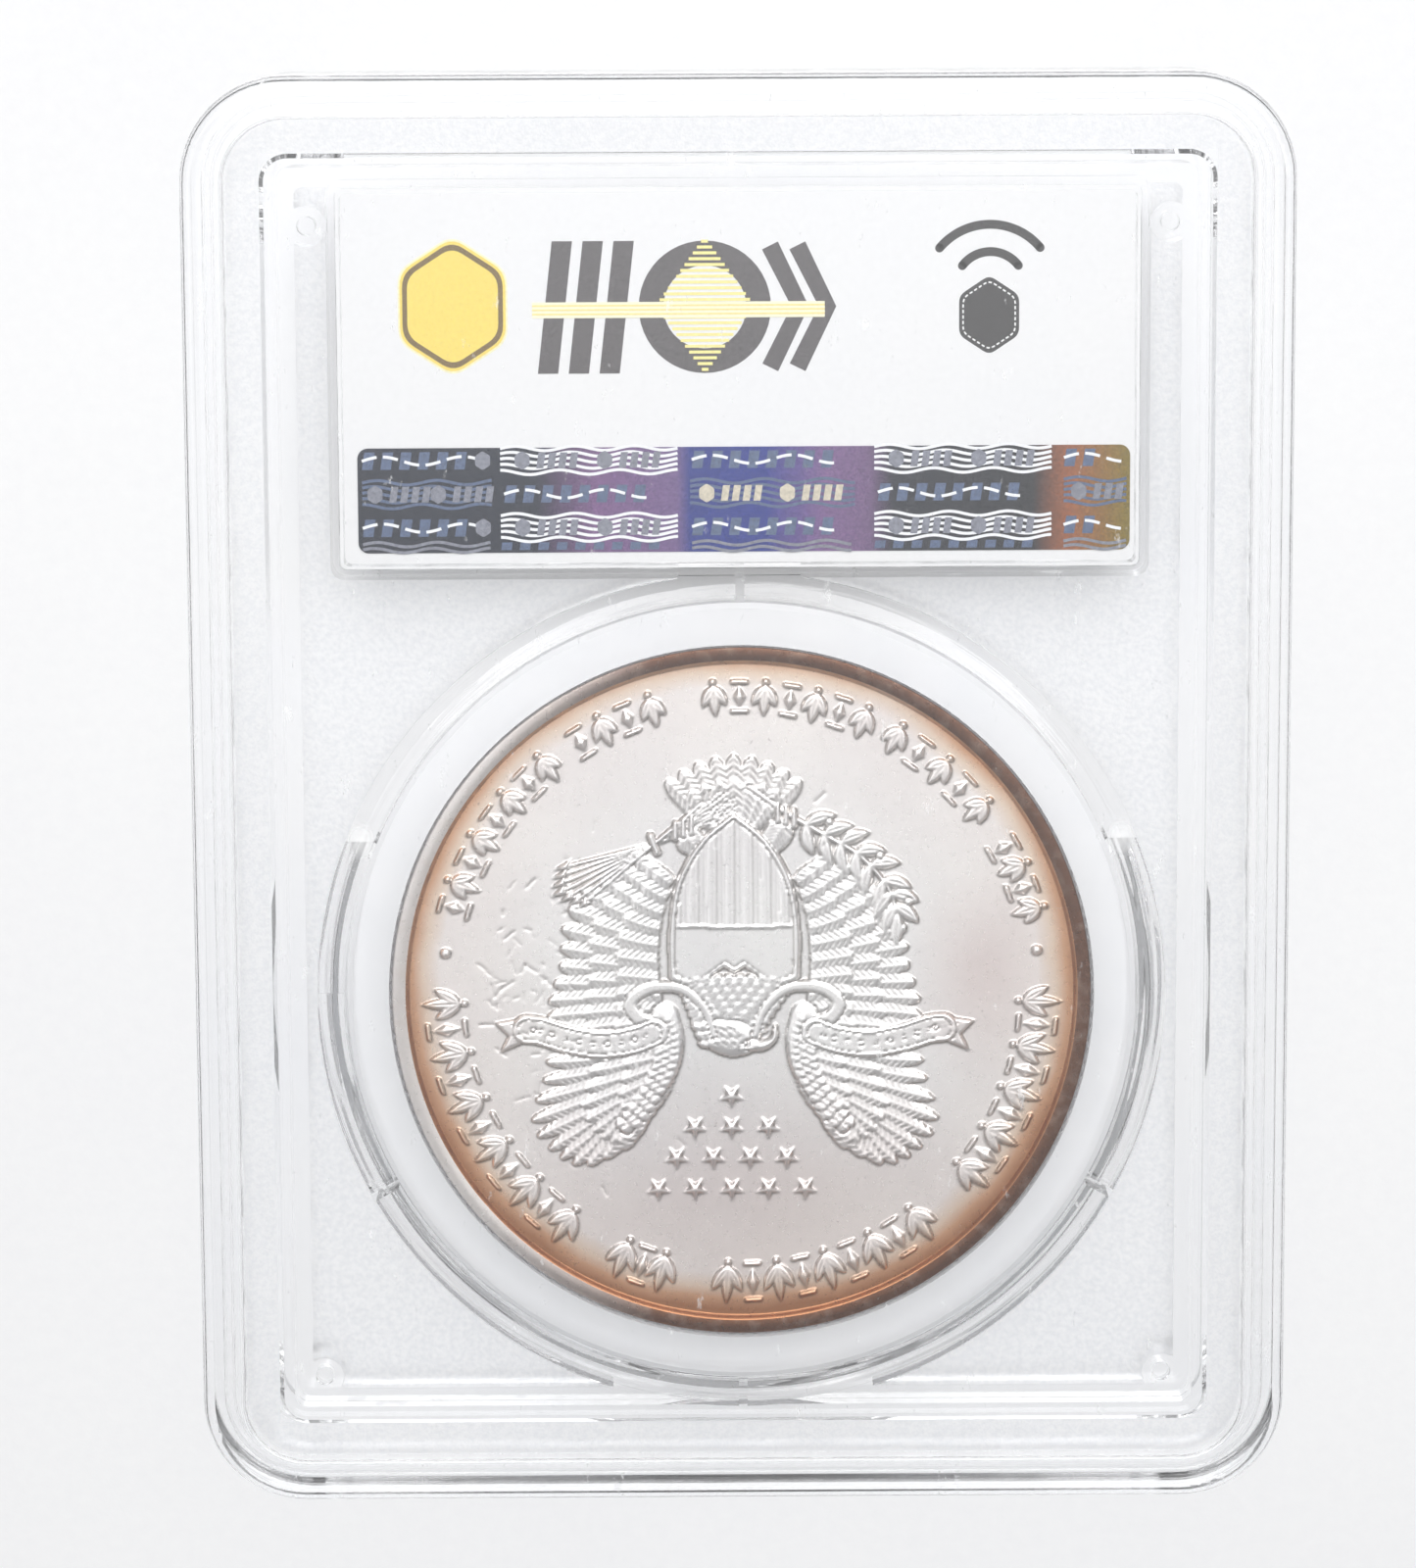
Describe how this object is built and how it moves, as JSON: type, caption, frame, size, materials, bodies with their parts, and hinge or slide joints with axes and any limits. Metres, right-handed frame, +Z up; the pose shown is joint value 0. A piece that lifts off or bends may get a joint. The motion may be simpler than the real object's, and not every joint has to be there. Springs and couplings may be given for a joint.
{
  "type": "graded coin slab",
  "caption": "Sealed clear plastic holder that displays one large silver coin in a round well below a paper label with a foil security strip; it lies flat or stacks.",
  "frame": {"origin": "middle of the foot ring that the slab lies on, front face down", "axes": "+X across the slab to the right, +Y along the slab towards the label, +Z up out of the rear face"},
  "size_m": [0.0626, 0.0822, 0.0085],
  "materials": {
    "clear_plastic": "clear polystyrene, polished windows and a fine frosted texture elsewhere",
    "weld": "re-set clear polystyrene",
    "ring_plastic": "clear soft plastic",
    "silver": "satin mint lustre with amber toning at the rim",
    "card": "smooth white card, printed",
    "foil": "dark holographic foil with printed waves",
    "film": "translucent polyester film",
    "adhesive": "clear acrylic adhesive",
    "antenna": "etched aluminium",
    "chip": "bare silicon die"
  },
  "bodies": {
    "root": {"front_shell": "clear_plastic", "rear_shell": "clear_plastic", "weld_seam": "weld", "coin_ring": "ring_plastic", "coin": "silver", "front_label": "card", "inlay_film": "film", "inlay_antenna": "antenna", "inlay_chip": "chip", "inlay_adhesive": "adhesive", "rear_label": "card", "hologram_strip": "foil"}
  },
  "joints": []
}
